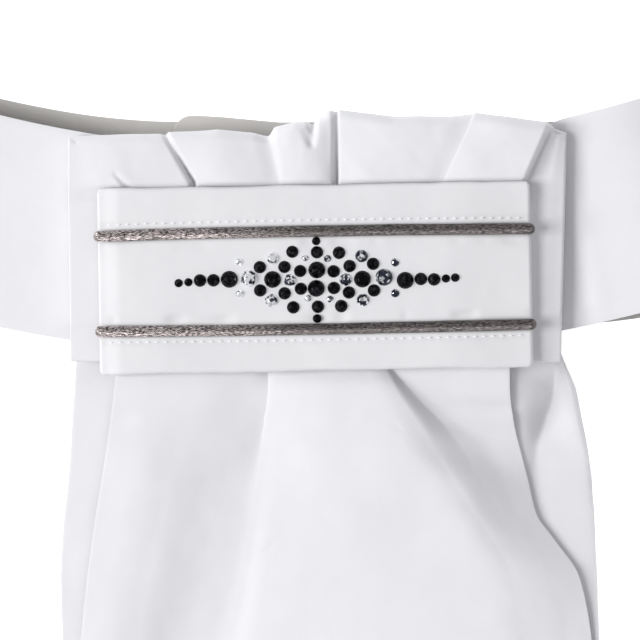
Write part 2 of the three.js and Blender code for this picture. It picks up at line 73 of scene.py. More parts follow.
def at(x, y, z):
    return MOTIF + Vector((x, y, z)) * MM


# Numbers


def mix(a, b, t):
    return a + (b - a) * t


def clamp(t, low=0.0, high=1.0):
    return max(low, min(high, t))


def ease(t):
    t = clamp(t)
    return t * t * (3 - 2 * t)


def hump(x, middle, reach):
    """1 at the middle, easing to 0 at reach on either side."""
    return ease(1 - abs(x - middle) / reach)


def smooth_line(stations, values, x):
    """The value at x on a smooth line through the stations that doesn't overshoot them."""
    last = len(stations) - 1
    x = clamp(x, stations[0], stations[-1])
    i = 0
    while i < last - 1 and x > stations[i + 1]:
        i += 1

    def secant(k):
        return (values[k + 1] - values[k]) / (stations[k + 1] - stations[k])

    def slope(k):
        if k == 0 or k == last:
            return secant(min(k, last - 1))
        before, after = secant(k - 1), secant(k)
        return 0.0 if before * after <= 0 else 2 * before * after / (before + after)

    width = stations[i + 1] - stations[i]
    t = (x - stations[i]) / width
    r = 1 - t
    return (values[i] * (1 + 2 * t) * r * r + slope(i) * width * t * r * r
            + values[i + 1] * t * t * (3 - 2 * t) - slope(i + 1) * width * t * t * r)


def ripple(x, y, size, seed=0.0):
    """Soft unevenness between -1 and 1, for cloth that isn't quite flat."""
    return noise.noise(Vector((x / size, y / size, seed)))


def along_segment(x, y, start, end):
    """How far a place is from a straight crease, and its share of the way along it."""
    dx, dy = end[0] - start[0], end[1] - start[1]
    share = ((x - start[0]) * dx + (y - start[1]) * dy) / (dx * dx + dy * dy)
    held = clamp(share)
    return math.hypot(x - start[0] - dx * held, y - start[1] - dy * held), share


# Meshes


def grid(made, columns, rows, place, cut, cut_layer):
    """Adds a grid whose vertices place(column, row) puts, with its flat cut as its UV map in metres."""
    before = set(made.faces)
    new = bmesh.ops.create_grid(made, x_segments=columns, y_segments=rows, size=1.0)["verts"]
    across = {}
    for vert in new:
        across[vert] = (round((vert.co.x + 1) / 2 * columns), round((vert.co.y + 1) / 2 * rows))
    for face in set(made.faces) - before:
        for loop in face.loops:
            i, j = across[loop.vert]
            loop[cut_layer].uv = (i / columns * cut[0] * MM, j / rows * cut[1] * MM)
    for vert, (i, j) in across.items():
        vert.co = at(*place(i, j))
    return new


def finished(name, made, materials):
    mesh = bpy.data.meshes.new(name)
    made.to_mesh(mesh)
    made.free()
    for polygon in mesh.polygons:
        polygon.use_smooth = True
    for material in materials:
        mesh.materials.append(material)
    piece = bpy.data.objects.new(name, mesh)
    bpy.context.scene.collection.objects.link(piece)
    return piece


def sheet_piece(name, columns, rows, place, cut, materials):
    """An open grid of cloth."""
    made = bmesh.new()
    layer = made.loops.layers.uv.new("cut")
    grid(made, columns, rows, place, cut, layer)
    bmesh.ops.recalc_face_normals(made, faces=made.faces)
    return finished(name, made, materials)


def pillow_piece(name, columns, rows, front, back, cut, materials):
    """Two grids that meet round their borders, as the front and back of a stuffed piece."""
    made = bmesh.new()
    layer = made.loops.layers.uv.new("cut")
    grid(made, columns, rows, front, cut, layer)
    grid(made, columns, rows, back, cut, layer)
    bmesh.ops.remove_doubles(made, verts=made.verts, dist=0.000002)
    bmesh.ops.recalc_face_normals(made, faces=made.faces)
    return finished(name, made, materials)


def thicken(piece, wall, edge=0.0, lined=False):
    solid = piece.modifiers.new("wall", "SOLIDIFY")
    solid.thickness = wall * MM
    solid.offset = 0.0
    solid.use_even_offset = True
    if lined:
        solid.material_offset = 1
        solid.material_offset_rim = 1
    if edge:
        bevel = piece.modifiers.new("pressed edge", "BEVEL")
        bevel.width = edge * MM
        bevel.segments = 2
        bevel.limit_method = "ANGLE"
        bevel.angle_limit = math.radians(50)


def dress(piece, slot, *nodes):
    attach(piece, BODY)
    if nodes:
        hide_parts(*nodes)


# Materials


class Finish:
    """A node material, with short ways to add and join nodes."""

    def __init__(self, name, **sockets):
        self.material = bpy.data.materials.new(name)
        self.material.use_nodes = True
        self.tree = self.material.node_tree
        self.shader = self.tree.nodes["Principled BSDF"]
        for socket, value in sockets.items():
            self.shader.inputs[socket.replace("_", " ")].default_value = value

    def add(self, kind, inputs=None, **settings):
        made = self.tree.nodes.new("ShaderNode" + kind)
        for key, value in settings.items():
            setattr(made, key, value)
        for key, value in (inputs or {}).items():
            if isinstance(value, bpy.types.NodeSocket):
                self.tree.links.new(value, made.inputs[key])
            else:
                made.inputs[key].default_value = value
        return made

    def math(self, operation, first, second=0.0, third=0.0):
        return self.add("Math", {0: first, 1: second, 2: third}, operation=operation).outputs[0]

    def into(self, socket, value):
        self.tree.links.new(value, self.shader.inputs[socket])

    def colours(self, share, low, high, dark, light):
        ramp = self.add("ValToRGB", {"Fac": share})
        ramp.color_ramp.elements[0].position = low
        ramp.color_ramp.elements[0].color = (*dark, 1)
        ramp.color_ramp.elements[1].position = high
        ramp.color_ramp.elements[1].color = (*light, 1)
        return ramp.outputs["Color"]

    def bumps(self, *layers):
        """Each layer is a height and how many metres one unit of it stands up."""
        normal = None
        for height, tall in layers:
            inputs = {"Height": height, "Strength": 1.0, "Distance": tall}
            if normal is not None:
                inputs["Normal"] = normal
            normal = self.add("Bump", inputs).outputs["Normal"]
        self.into("Normal", normal)


def cloth_finish(name, dark, light, pitch=0.42, relief=0.013, roughness=0.88, sheen=0.12):
    """Fine cotton twill: diagonal ribs crossed by the weft, on the cut of the cloth."""
    finish = Finish(name, Roughness=roughness, Sheen_Weight=sheen, Sheen_Roughness=0.5, Specular_IOR_Level=0.25)
    cut = finish.add("UVMap", uv_map="cut").outputs["UV"]
    parts = finish.add("SeparateXYZ", {"Vector": cut}).outputs
    turns = 2 * math.pi / (pitch * MM)
    slant = finish.math("ADD", parts["X"], parts["Y"])
    rib = finish.math("SINE", finish.math("MULTIPLY", slant, turns))
    weft = finish.math("SINE", finish.math("MULTIPLY", parts["Y"], turns * 1.9))
    weave = finish.math("MULTIPLY_ADD", weft, 0.45, rib)
    place = finish.add("TexCoord").outputs["Object"]
    slub = finish.add("TexNoise", {"Vector": place, "Scale": 900.0, "Detail": 3.0}).outputs["Fac"]
    soft = finish.add("TexNoise", {"Vector": place, "Scale": 70.0, "Detail": 3.0}).outputs["Fac"]
    finish.into("Base Color", finish.colours(soft, 0.3, 0.7, dark, light))
    finish.bumps((soft, 0.00012), (slub, relief * MM * 1.5), (weave, relief * MM * 0.5))
    return finish.material


WHITE_CLOTH = cloth_finish("white twill", (0.645, 0.643, 0.662), (0.670, 0.668, 0.685))
# The cross band's cloth is a little darker than the white twill; part of that is painted shade for the dimmer
# light on the band's right half.
BAND_CLOTH = cloth_finish("white cotton over padding", (0.610, 0.609, 0.623), (0.640, 0.638, 0.651), pitch=0.36)
# The neckband's inner face: a warmer, darker cloth, its darkness partly painted shade for the inside of the loop.
SHADED_LINING = cloth_finish("warm lining with painted shade", (0.468, 0.452, 0.432), (0.500, 0.483, 0.463), pitch=0.5, roughness=0.95)


def pile_finish():
    finish = Finish("hook and loop pile", Roughness=0.95)
    place = finish.add("TexCoord").outputs["Object"]
    loops = finish.add("TexVoronoi", {"Vector": place, "Scale": 1700.0}).outputs["Distance"]
    finish.into("Base Color", finish.colours(loops, 0.0, 0.8, (0.60, 0.59, 0.57), (0.70, 0.69, 0.67)))
    finish.bumps((loops, 0.0003))
    return finish.material


def thread_finish():
    finish = Finish("white sewing thread", Roughness=0.6, Sheen_Weight=0.2)
    place = finish.add("TexCoord").outputs["Object"]
    ply = finish.add("TexNoise", {"Vector": place, "Scale": 2500.0}).outputs["Fac"]
    finish.into("Base Color", finish.colours(ply, 0.3, 0.7, (0.72, 0.72, 0.74), (0.80, 0.80, 0.82)))
    return finish.material


def metallic_braid_finish():
    """Metallic thread over a dark core: fine glints along the cord, and painted glints in its colour that make its
    first third brighter.
    """
    finish = Finish("pewter metallic braid", Metallic=0.9, Roughness=0.3)
    cut = finish.add("UVMap", uv_map="cut").outputs["UV"]
    parts = finish.add("SeparateXYZ", {"Vector": cut}).outputs
    lean = finish.math("MULTIPLY_ADD", parts["Y"], 1.3, parts["X"])
    wrap = finish.math("SINE", finish.math("MULTIPLY", lean, 2 * math.pi / (0.48 * MM)))
    place = finish.add("TexCoord").outputs["Object"]
    stretched = finish.add("Mapping", {"Vector": place, "Scale": (0.6, 2.6, 2.6)}).outputs["Vector"]
    strand = finish.add("TexNoise", {"Vector": stretched, "Scale": 2300.0, "Detail": 2.0}).outputs["Fac"]
    share = finish.math("MULTIPLY_ADD", wrap, 0.07, strand)
    plain = finish.colours(share, 0.38, 0.66, (0.018, 0.016, 0.015), (0.30, 0.268, 0.260))
    # Painted glints: near-white colour on the strands, standing in for the lamp's glints on the cord's first
    # third.
    painted_glint_colours = finish.colours(share, 0.45, 0.65, (0.04, 0.035, 0.033), (1.0, 0.88, 0.86))
    along = finish.math("SUBTRACT", parts["X"], 0.034)
    # Share of painted glint: full at the cord's start, fading out by its middle.
    painted_glint_share = finish.math("SUBTRACT", 1.0, finish.math("DIVIDE", finish.math("ADD", along, 0.014), 0.028))
    blend = finish.add("Clamp", {"Value": painted_glint_share}).outputs["Result"]
    finish.into("Base Color", finish.add("MixRGB", {"Fac": blend, "Color1": plain, "Color2": painted_glint_colours}).outputs[0])
    finish.bumps((strand, 0.00012), (wrap, 0.00004))
    return finish.material


def black_glass_finish():
    finish = Finish("black cut glass", Roughness=0.08, Specular_IOR_Level=0.08)
    place = finish.add("TexCoord").outputs["Object"]
    facet = finish.add("TexVoronoi", {"Vector": place, "Scale": 1500.0}).outputs["Color"]
    tone = finish.add("SeparateXYZ", {"Vector": facet}).outputs["X"]
    finish.into("Base Color", finish.colours(tone, 0.6, 0.95, (0.0005, 0.0005, 0.001), (0.014, 0.014, 0.017)))
    return finish.material


def clear_glass_finish():
    """Foil-backed glass: facets of silver and of dark grey, the dark ones painted reflections of dark
    surroundings, with more dark ones towards the right as painted shade.
    """
    finish = Finish("clear cut glass on foil", Metallic=0.95, Roughness=0.12)
    place = finish.add("TexCoord").outputs["Object"]
    facet = finish.add("TexVoronoi", {"Vector": place, "Scale": 1500.0}).outputs["Color"]
    tone = finish.add("SeparateXYZ", {"Vector": facet}).outputs["X"]
    # Painted shade: the stones' colour darkens towards the right, as if less lit there.
    across = finish.add("SeparateXYZ", {"Vector": place}).outputs["X"]
    share = finish.math("MULTIPLY_ADD", across, -20.0, tone)
    finish.into("Base Color", finish.colours(share, 0.34, 0.62, (0.04, 0.045, 0.065), (0.97, 0.98, 1.0)))
    return finish.material


BRAID = metallic_braid_finish()
THREAD = thread_finish()
PILE = pile_finish()
JET = black_glass_finish()
CRYSTAL = clear_glass_finish()


# The neckband: one strip from the end against the table, round the loop, to the inner end.

STRIP = {"height": 45.8, "wall": 1.5, "radius": 292.5, "middle": 5.8, "tilt": math.radians(1.2)}
BACK_Z = 0.8
FRONT_Z = 11.2
OVER_Z = 4.0
FOLD_REACH = 88.0
UNDER_END = 14.0
OVER_END = -33.6
RAMP = (38.0, 20.0)
END_CORNER = 4.0
OVER_END_LIFT = 2.5
PAD = {"from": -27.0, "to": 10.0, "height": 35.4, "middle_z": 2.4, "wall": 0.9, "edge": 0.25}
BACK_LIFT_AT = (-95, -70, -54, -40, -20, 0, 20, 40, 55, 71, 95)
BACK_LIFT = (3.6, 3.9, 4.2, 4.8, 6.2, 6.3, 5.2, 2.7, 0.4, -1.5, -2.4)
# At the right the strip's upper edge tucks in behind the panel, and past the panel its front stands higher.
TUCK = {"from": 38.0, "deepest": 52.0, "to": 61.0, "depth": 1.3}
BESIDE_THE_PANEL = {"from": 54.5, "close": 5.0, "far": 14.0, "fall": 14.0, "rise": 0.9}


def on_neckband(along, up, z):
    angle = along / STRIP["radius"]
    reach = STRIP["radius"] - up
    x, y = reach * math.sin(angle), STRIP["radius"] - reach * math.cos(angle)
    c, s = math.cos(STRIP["tilt"]), math.sin(STRIP["tilt"])
    front_share = ease((z - BACK_Z) / (FRONT_Z - BACK_Z))
    lift = mix(smooth_line(BACK_LIFT_AT, BACK_LIFT, along), 0.0, front_share)
    return x * c - y * s, x * s + y * c + STRIP["middle"] + lift, z


def neckband_line():
    """(along, z, inner) down the middle of the strip; inner is 1 where it is past the second fold."""
    line = []

    def run(start, end, z, step, inner=0):
        count = max(1, round(abs(end - start) / step))
        line.extend((mix(start, end, i / count), z, inner) for i in range(count))

    def fold(side, inner=0):
        middle, turn = (BACK_Z + FRONT_Z) / 2, (FRONT_Z - BACK_Z) / 2
        degrees = range(-90, 90, 10) if side < 0 else range(90, -90, -10)
        for d in degrees:
            a = math.radians(d)
            line.append((side * (FOLD_REACH + turn * math.cos(a)), middle + turn * math.sin(a), inner))

    run(UNDER_END, -FOLD_REACH, BACK_Z, 2.0)
    fold(-1)
    run(-FOLD_REACH, FOLD_REACH, FRONT_Z, 1.6)
    fold(1, 1)
    run(FOLD_REACH, RAMP[0], BACK_Z, 2.0, 1)
    count = 9
    for i in range(count):
        t = i / count
        line.append((mix(RAMP[0], RAMP[1], t), mix(BACK_Z, OVER_Z, ease(t)), 1))
    run(RAMP[1], OVER_END + END_CORNER, OVER_Z, 1.6, 1)
    for t in (0.0, 0.25, 0.45, 0.62, 0.76, 0.87, 0.95, 0.99):
        line.append((OVER_END + END_CORNER * (1 - t), OVER_Z, 1))
    return line


def make_neckband():
    line = neckband_line()
    rows = 26
    half = STRIP["height"] / 2

    def place(i, j):
        along, z, inner = line[i]
        top = bottom = half
        lift = raised = 0.0
        if inner and z < FRONT_Z / 2:
            from_tip = along - OVER_END
            into = max(END_CORNER - from_tip, 0.0)
            top = bottom = half - (END_CORNER - math.sqrt(END_CORNER ** 2 - min(into, END_CORNER) ** 2))
            lift = OVER_END_LIFT * ease(1 - from_tip / (RAMP[1] - OVER_END))
        elif z == FRONT_Z:
            rising = ease((along - TUCK["from"]) / (TUCK["deepest"] - TUCK["from"]))
            falling = ease((TUCK["to"] - along) / (TUCK["to"] - TUCK["deepest"]))
            top -= TUCK["depth"] * min(rising, falling)
            beyond = along - BESIDE_THE_PANEL["from"]
            raised = ease(beyond / BESIDE_THE_PANEL["close"])
            raised += ease((beyond - BESIDE_THE_PANEL["close"]) / BESIDE_THE_PANEL["far"])
            raised *= BESIDE_THE_PANEL["rise"] * ease((FOLD_REACH - along) / BESIDE_THE_PANEL["fall"])
        up = mix(-bottom, top, j / rows)
        x, y, z = on_neckband(along, up, z)
        return x, y + lift, z + raised + 0.16 * ripple(x, y, 17.0, z)

    piece = sheet_piece("neckband_cloth", len(line) - 1, rows, place, (432.5, STRIP["height"]),
                        [SHADED_LINING, WHITE_CLOTH])
    thicken(piece, STRIP["wall"], 0.5, lined=True)
    dress(piece, "white_cloth", "neckband")


def make_closure_pad():
    """The patch of hook and loop between the strip's two ends."""
    made = bmesh.new()
    bmesh.ops.create_grid(made, x_segments=24, y_segments=18, size=0.5)
    for vert in made.verts:
        along = mix(PAD["from"], PAD["to"], vert.co.x + 0.5)
        vert.co = at(*on_neckband(along, PAD["height"] * vert.co.y, PAD["middle_z"]))
    piece = finished("closure_pile", made, [PILE])
    thicken(piece, PAD["wall"], PAD["edge"])
    dress(piece, "hook_and_loop", "closure_pad")


# The knot panel: a stuffed, pleated piece whose folds run up from under the cross band.

PANEL = {"half": 55.2, "bottom": -18.2, "front": 18.3, "bow": 0.5}
PANEL_CUT = (124.0, 60.0)
PANEL_TAPER = {"left": 0.7, "right": 1.1}
POCKET_TOP = -10.0
POCKET_BACK_Z = 16.9
PANEL_BACK_Z = 12.3
PLEATS_FROM = 21.3
TOP_ROLL = 2.3
RIGHT_BORDER_DROP = 2.0
# Across the panel: where each line of the folds is at the cross band and at the top edge, how high the top
# edge is there, and how far the cloth rises above the plain borders at the band and at the top.
PLEATS = (
    ("left side", -54.8, -54.8, 31.1, 0.0, 0.0),
    ("left border", -54.5, -54.5, 31.4, 0.0, 0.0),
    ("first puff", -43.0, -43.5, 32.0, 1.1, 0.8),
    ("long fold, left lip", -28.3, -34.7, 32.1, 0.9, 0.5),
    ("long fold", -26.85, -33.3, 31.8, -1.6, -0.2),
    ("long fold, right lip", -26.1, -32.6, 32.4, 1.15, 0.9),
    ("second puff", -18.0, -22.0, 33.0, 2.1, 1.7),
    ("second puff, right", -11.8, -15.0, 32.4, 1.7, 1.3),
    ("small fold", -8.4, -10.6, 31.6, 1.3, 0.6),
    ("small fold lip", -7.0, -9.0, 33.6, 1.75, 1.35),
    ("third puff", -3.6, -5.0, 34.6, 2.1, 1.9),
    ("notch, left", -1.2, -2.4, 34.8, 2.0, 1.5),
    ("notch", 0.0, -0.9, 34.1, 1.9, 0.5),
    ("notch, right", 1.0, 0.6, 36.0, 1.7, 1.3),
    ("middle fold, left lip", 3.3, 3.1, 37.3, 0.8, 1.3),
    ("middle fold", 4.65, 4.45, 37.0, -1.6, -0.2),
    ("middle fold, right lip", 5.15, 5.0, 37.4, 1.3, 1.15),
    ("fourth puff", 14.5, 17.0, 35.9, 2.4, 2.0),
    ("fourth puff, right", 22.8, 29.4, 35.9, 2.1, 1.75),
    ("slant fold", 27.75, 34.7, 36.5, 1.54, 1.27),
    ("slant fold lip", 28.15, 35.1, 36.7, 1.66, 1.39),
    ("last puff", 35.5, 42.5, 35.8, 2.2, 2.0),
    ("last lip", 45.2, 51.0, 34.6, 2.15, 1.8),
    ("drop to the border", 46.3, 52.0, 33.8, -1.0, -0.9),
    ("foot of the border", 47.8, 52.7, 33.1, -0.6, -0.6),
    ("border crest", 54.2, 54.5, 32.6, 0.0, 0.0),
    ("right side", 55.0, 55.2, 32.4, 0.0, 0.0),
)
SOFT_TOPS = (7, 8, 11, 12, 13)
CREASES = (
    ((-44.3, 23.2), (-41.4, 20.0), 0.8, 1.0),
    ((-2.4, 32.4), (-1.2, 29.8), 1.3, 0.7),
    ((-54.2, 31.0), (-52.9, 30.2), 0.5, 0.6),
    ((51.9, 32.6), (53.6, 31.9), 0.5, 0.8),
)


def band_top_edge(x):
    return BAND_MIDDLE[1] + BAND["width"] / 2 + math.tan(BAND_TURN) * x


def panel_columns(step=0.42):
    """(pleat, share of the way to the next) for each column, closer where the folds are narrow."""
    columns = []
    for k in range(len(PLEATS) - 1):
        width = PLEATS[k + 1][2] - PLEATS[k][2]
        count = max(4, round(width / step))
        if k in (0, len(PLEATS) - 2):
            shares = [(i / 12) ** 2 for i in range(12)]
            if k:
                shares = [1 - (1 - i / 12) ** 2 for i in range(12)]
            columns.extend((k, t) for t in shares)
        else:
            columns.extend((k, i / count) for i in range(count))
    columns.append((len(PLEATS) - 2, 1.0))
    return columns


def panel_rows():
    """("low", y) below the pleats, ("share", s) up to the top edge, then ("roll", angle) over it."""
    low = [-18.2, -18.12, -17.9, -17.5, -16.5, -14.5, -12.5, -10.6, -10.2, -9.8, -8.0, -4.0]
    low += [0.0, 4.0, 8.0, 12.0, 15.0]
    shares = [i / 34 for i in range(34)]
    angles = [math.radians(90 * i / 9) for i in range(10)]
    return [("low", y) for y in low] + [("share", s) for s in shares] + [("roll", a) for a in angles]


def make_knot_panel():
    columns, rows = panel_columns(), panel_rows()
    stations = [pleat[1] for pleat in PLEATS]
    low_rises = [pleat[4] for pleat in PLEATS]
    high_rises = [pleat[5] for pleat in PLEATS]
    shares_from = 17.0

    def point(i, j, side):
        k, t = columns[i]
        kind, value = rows[j]
        top_y = mix(PLEATS[k][3], PLEATS[k + 1][3], ease(t) if k in SOFT_TOPS else t)
        top_y += 0.12 * ripple(i * 0.2, 0.0, 3.0, 5.0)
        if kind == "low":
            y, roundness = value, math.sqrt(1 - (1 - clamp((value - PANEL["bottom"]) / 0.5)) ** 2)
        elif kind == "share":
            y, roundness = mix(shares_from, top_y - TOP_ROLL, value), 1.0
        else:
            y, roundness = top_y - TOP_ROLL + TOP_ROLL * math.sin(value), math.cos(value)
        up = clamp((y - PLEATS_FROM) / (top_y - PLEATS_FROM))
        station = mix(stations[k], stations[k + 1], t)
        x = mix(station, mix(PLEATS[k][2], PLEATS[k + 1][2], t), up)
        lowness = 1 - clamp((y - PANEL["bottom"]) / (PLEATS_FROM - PANEL["bottom"]))
        edge_share = clamp(abs(station) / 52.0) ** 6
        x += (PANEL_TAPER["left"] if x < 0 else -PANEL_TAPER["right"]) * lowness * edge_share
        notched = hump(station, -0.2, 4.0)
        blend = mix(ease(up), ease((up - 0.55) / 0.45), ease(2 * notched))
        rise = mix(smooth_line(stations, low_rises, station), smooth_line(stations, high_rises, station), blend)
        showing = ease((y - band_top_edge(x) + 0.7) / 1.8)
        if rise < 0:
            showing = ease((y - 16.0) / 4.0)
        border = min(i, len(columns) - 1 - i) / 12.0
        front = PANEL["front"] + PANEL["bow"] * (1 - (x / PANEL["half"]) ** 2) + rise * showing
        front -= RIGHT_BORDER_DROP * ease((station - 47.0) / 8.5) + 0.7 * hump(station, 49.0, 2.6)
        front += 0.3 * ripple(x, y, 9.0, 2.0) * showing + 0.07 * ripple(x, y, 3.0, 3.0) * showing
        for start, end, reach, depth in CREASES:
            away, share = along_segment(x, y, start, end)
            front -= depth * (0.3 + 0.7 * clamp(share)) * ease(1 - away / reach)
        back = min(POCKET_BACK_Z, front - 1.4) if y < POCKET_TOP else PANEL_BACK_Z
        side_round = math.sqrt(1 - (1 - clamp(border)) ** 2)
        fullness = roundness * side_round
        z = mix(back, front, 0.5 + 0.5 * fullness * side)
        return x, y, z

    piece = pillow_piece("knot_panel_cloth", len(columns) - 1, len(rows) - 1,
                         lambda i, j: point(i, j, 1), lambda i, j: point(i, j, -1),
                         PANEL_CUT, [WHITE_CLOTH])
    dress(piece, "white_cloth", "knot_panel")


# The cross band with its two cords and their stitching.

BAND = {"length": 95.3, "width": 41.0, "base": 19.15, "thick": 2.5, "edge": 0.6, "corner": 1.3}
# Each cord: its solid, where it runs at its ends, how much further out it runs at its middle, and its outer side.
CORD_LINES = (("cord_upper", 9.95, 0.35, 1), ("cord_lower", -11.0, -0.25, -1))
CORD = {"length": 97.1, "half_width": 1.25, "half_height": 1.0, "middle_z": 2.6, "girth": 7.1}
STITCH = {"pitch": 2.0, "length": 1.25, "thick": 0.3, "away": 1.25 + 1.15}


def cord_line(x, ends, bow):
    return ends + bow * (1 - (2 * x / CORD["length"]) ** 2)


def band_height(x, y):
    """How thick the cross band is at a place on it."""
    z = BAND["thick"] + 0.25 * (1 - (x / 48.0) ** 2) - 1.0 * ease(1 - (x + BAND["length"] / 2) / 5.0)
    z += 0.10 * ripple(x, y, 11.0, 7.0) + 0.05 * ripple(x, y, 3.5, 8.0)
    z -= 0.9 * ease((x - 28.0) / 20.0) + 0.6 * ease((-31.0 - x) / 17.0)
    for _name, ends, bow, outward in CORD_LINES:
        line = cord_line(x, ends, bow)
        z -= 1.55 * hump(y, line, 1.9)
        stitches = line + outward * STITCH["away"]
        phase = (x / STITCH["pitch"]) % 1.0
        z -= (0.16 + 0.16 * abs(2 * phase - 1)) * hump(y, stitches, 0.75)
        inside = line - outward * 1.9
        pucker = clamp(ripple(x, ends, 4.2, 11.0) * 2.2 - 0.2)
        z -= (0.55 if outward < 0 else 0.28) * pucker * hump(y, inside - outward * 0.5, 1.8)
    return z


def on_band(x, y, z):
    px, py = turned(x + BAND_MIDDLE[0], y + BAND_MIDDLE[1])
    return px, py, BAND["base"] + z


def make_knot_band():
    columns, rows = 180, 92

    def spread(share):
        """Places along a side, closer together near its ends."""
        end = 0.04
        if share < end:
            return 0.5 * end * (share / end) ** 2
        if share > 1 - end:
            return 1 - 0.5 * end * ((1 - share) / end) ** 2
        return mix(0.5 * end, 1 - 0.5 * end, (share - end) / (1 - 2 * end))

    def point(i, j, side):
        x = (spread(i / columns) - 0.5) * BAND["length"]
        y = (spread(j / rows) - 0.5) * BAND["width"]
        to_end = BAND["length"] / 2 - abs(x)
        to_edge = BAND["width"] / 2 - abs(y)
        near = min(to_end, to_edge)
        fullness = math.sqrt(max(0.0, 1 - (1 - clamp(near / BAND["edge"])) ** 2))
        thick = band_height(x, y)
        z = mix(0.0, thick, 0.3 + (0.7 if side > 0 else -0.3) * fullness)
        wander = 0.30 * ripple(x, y, 12.0, 21.0) + 0.10 * ripple(x, y, 4.0, 22.0)
        corner = clamp(1 - to_edge / BAND["corner"])
        pulled = BAND["corner"] * (1 - math.sqrt(1 - corner * corner)) * ease(1 - to_end / 4.0)
        return on_band(x - math.copysign(pulled, x), y + wander * ease(1 - to_edge / 2.5), z)

    piece = pillow_piece("knot_band_cloth", columns, rows, lambda i, j: point(i, j, 1),
                         lambda i, j: point(i, j, -1), (BAND["length"], BAND["width"]), [BAND_CLOTH])
    dress(piece, "band_cloth", "knot_band")


def make_cord(node, ends, bow):
    """A flat braid of metallic thread, its ends turned under at the ends of the band."""
    columns, rows = 420, 40
    strands = 5
    half = CORD["length"] / 2
    turn, turn_steps = 1.1, 9

    def place(i, j):
        from_end = min(i, columns - i)
        side = -1 if i < columns / 2 else 1
        if from_end < turn_steps:
            angle = math.pi / 2 * from_end / turn_steps
            x = side * (half - turn * (1 - math.cos(angle)))
            end_round = math.sin(angle)
        else:
            x = (2 * (i - turn_steps) / (columns - 2 * turn_steps) - 1) * (half - turn)
            end_round = 1.0
        around = 2 * math.pi * j / rows
        ridge = abs(math.sin(strands * around * 0.5 + 0.3))
        twist = 0.5 + 0.5 * math.sin(2 * math.pi * (x / 1.25) + 2.0 * math.sin(strands * around * 0.5))
        size = end_round * (0.90 + 0.09 * ridge + 0.02 * twist)
        size *= 1 + 0.03 * ripple(x, ends, 3.0, 4.0)
        dip = 0.75 * (1 - end_round)
        line = cord_line(x, ends, bow) + 0.08 * ripple(x, ends, 12.0, 9.0)
        across = line + CORD["half_width"] * size * math.cos(around)
        z = CORD["middle_z"] - dip + CORD["half_height"] * size * math.sin(around)
        return on_band(x, across, z)

    made = bmesh.new()
    layer = made.loops.layers.uv.new("cut")
    grid(made, columns, rows, place, (CORD["length"], CORD["girth"]), layer)
    bmesh.ops.remove_doubles(made, verts=made.verts, dist=0.000004)
    bmesh.ops.recalc_face_normals(made, faces=made.faces)
    piece = finished(node + "_braid", made, [BRAID])
    dress(piece, "metallic_cord", node)


def make_stitches(node, ends, bow, outward):
    """The row of machine stitches beside a cord."""
    made = bmesh.new()
    count = int(BAND["length"] / STITCH["pitch"]) - 1
    for i in range(count):
        x = (i - (count - 1) / 2) * STITCH["pitch"]
        y = cord_line(x, ends, bow) + outward * STITCH["away"]
        wobble = 0.06 * ripple(x, y, 1.7, 31.0)
        centre = at(*on_band(x, y + wobble, band_height(x, y) + 0.02))
        size = (STITCH["length"] / 2 * MM, STITCH["thick"] / 2 * MM, STITCH["thick"] / 2.6 * MM)
        lean = BAND_TURN + 0.06 * ripple(x, y, 1.3, 33.0)
        shape = Matrix.Translation(centre) @ Matrix.Rotation(lean, 4, "Z") @ Matrix.Diagonal((*size, 1.0))
        bmesh.ops.create_icosphere(made, subdivisions=1, radius=1.0, matrix=shape)
    bmesh.ops.recalc_face_normals(made, faces=made.faces)
    piece = finished(node + "_stitches", made, [THREAD])
    dress(piece, "band_cloth")


# The stones, each where its own solid is.


def make_stone(node, number):
    low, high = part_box(node)
    centre = Vector(((low[0] + high[0]) / 2, (low[1] + high[1]) / 2, low[2]))
    radius = (high[0] - low[0]) / 2
    height = high[2] - low[2]
    clear = node.startswith("clear")
    made = bmesh.new()
    # Each ring of corners: how many, its share of the radius and of the height, and its turn in degrees.
    rings = ((16, 1.0, 0.0, 0.0), (16, 1.0, 0.14, 0.0), (8, 0.80, 0.66, 11.25), (8, 0.50, 1.0, 33.75))
    for corners, share, up, turn in rings:
        spin = Matrix.Rotation(math.radians(turn), 4, "Z")
        lift = Matrix.Translation((0, 0, height * up))
        bmesh.ops.create_circle(made, segments=corners, radius=radius * share, cap_ends=False, matrix=lift @ spin)
    bmesh.ops.convex_hull(made, input=made.verts)
    bmesh.ops.dissolve_limit(made, angle_limit=math.radians(2), verts=made.verts, edges=made.edges)
    sharp = [edge for edge in made.edges if len(edge.link_faces) == 2]
    bmesh.ops.bevel(made, geom=sharp, affect="EDGES", offset=0.03 * radius, segments=1, profile=0.5, material=-1)
    lean_x = math.radians(1.2 * ripple(number, 0.0, 1.7, 41.0) + 0.042 * (centre.x - MOTIF.x) / MM)
    lean_y = math.radians(1.2 * ripple(number, 5.0, 1.7, 43.0))
    spin = math.radians(137.5 * number)
    place = (Matrix.Translation(centre) @ Matrix.Rotation(lean_x, 4, "Y")
             @ Matrix.Rotation(lean_y, 4, "X") @ Matrix.Rotation(spin, 4, "Z"))
    bmesh.ops.transform(made, matrix=place, verts=made.verts)
    piece = finished(node + "_cut", made, [CRYSTAL if clear else JET])
    for polygon in piece.data.polygons:
        polygon.use_smooth = False
    dress(piece, "clear_stone" if clear else "black_stone", node)


# The tails: sheets whose folds follow a few lines that run down them.

# How far down each station is, and how high above the table the under tail lies there.
DOWN = (11, 18.5, 24, 31, 38, 45, 52, 58, 66, 79, 110, 168)
LOWER_LEVEL = (12.3, 12.3, 12.2, 11.4, 10.2, 9.2, 8.2, 7.0, 5.4, 2.8, 0.4, 0)
TAIL_WALL = 0.84
FINE_ROWS_TO = 85
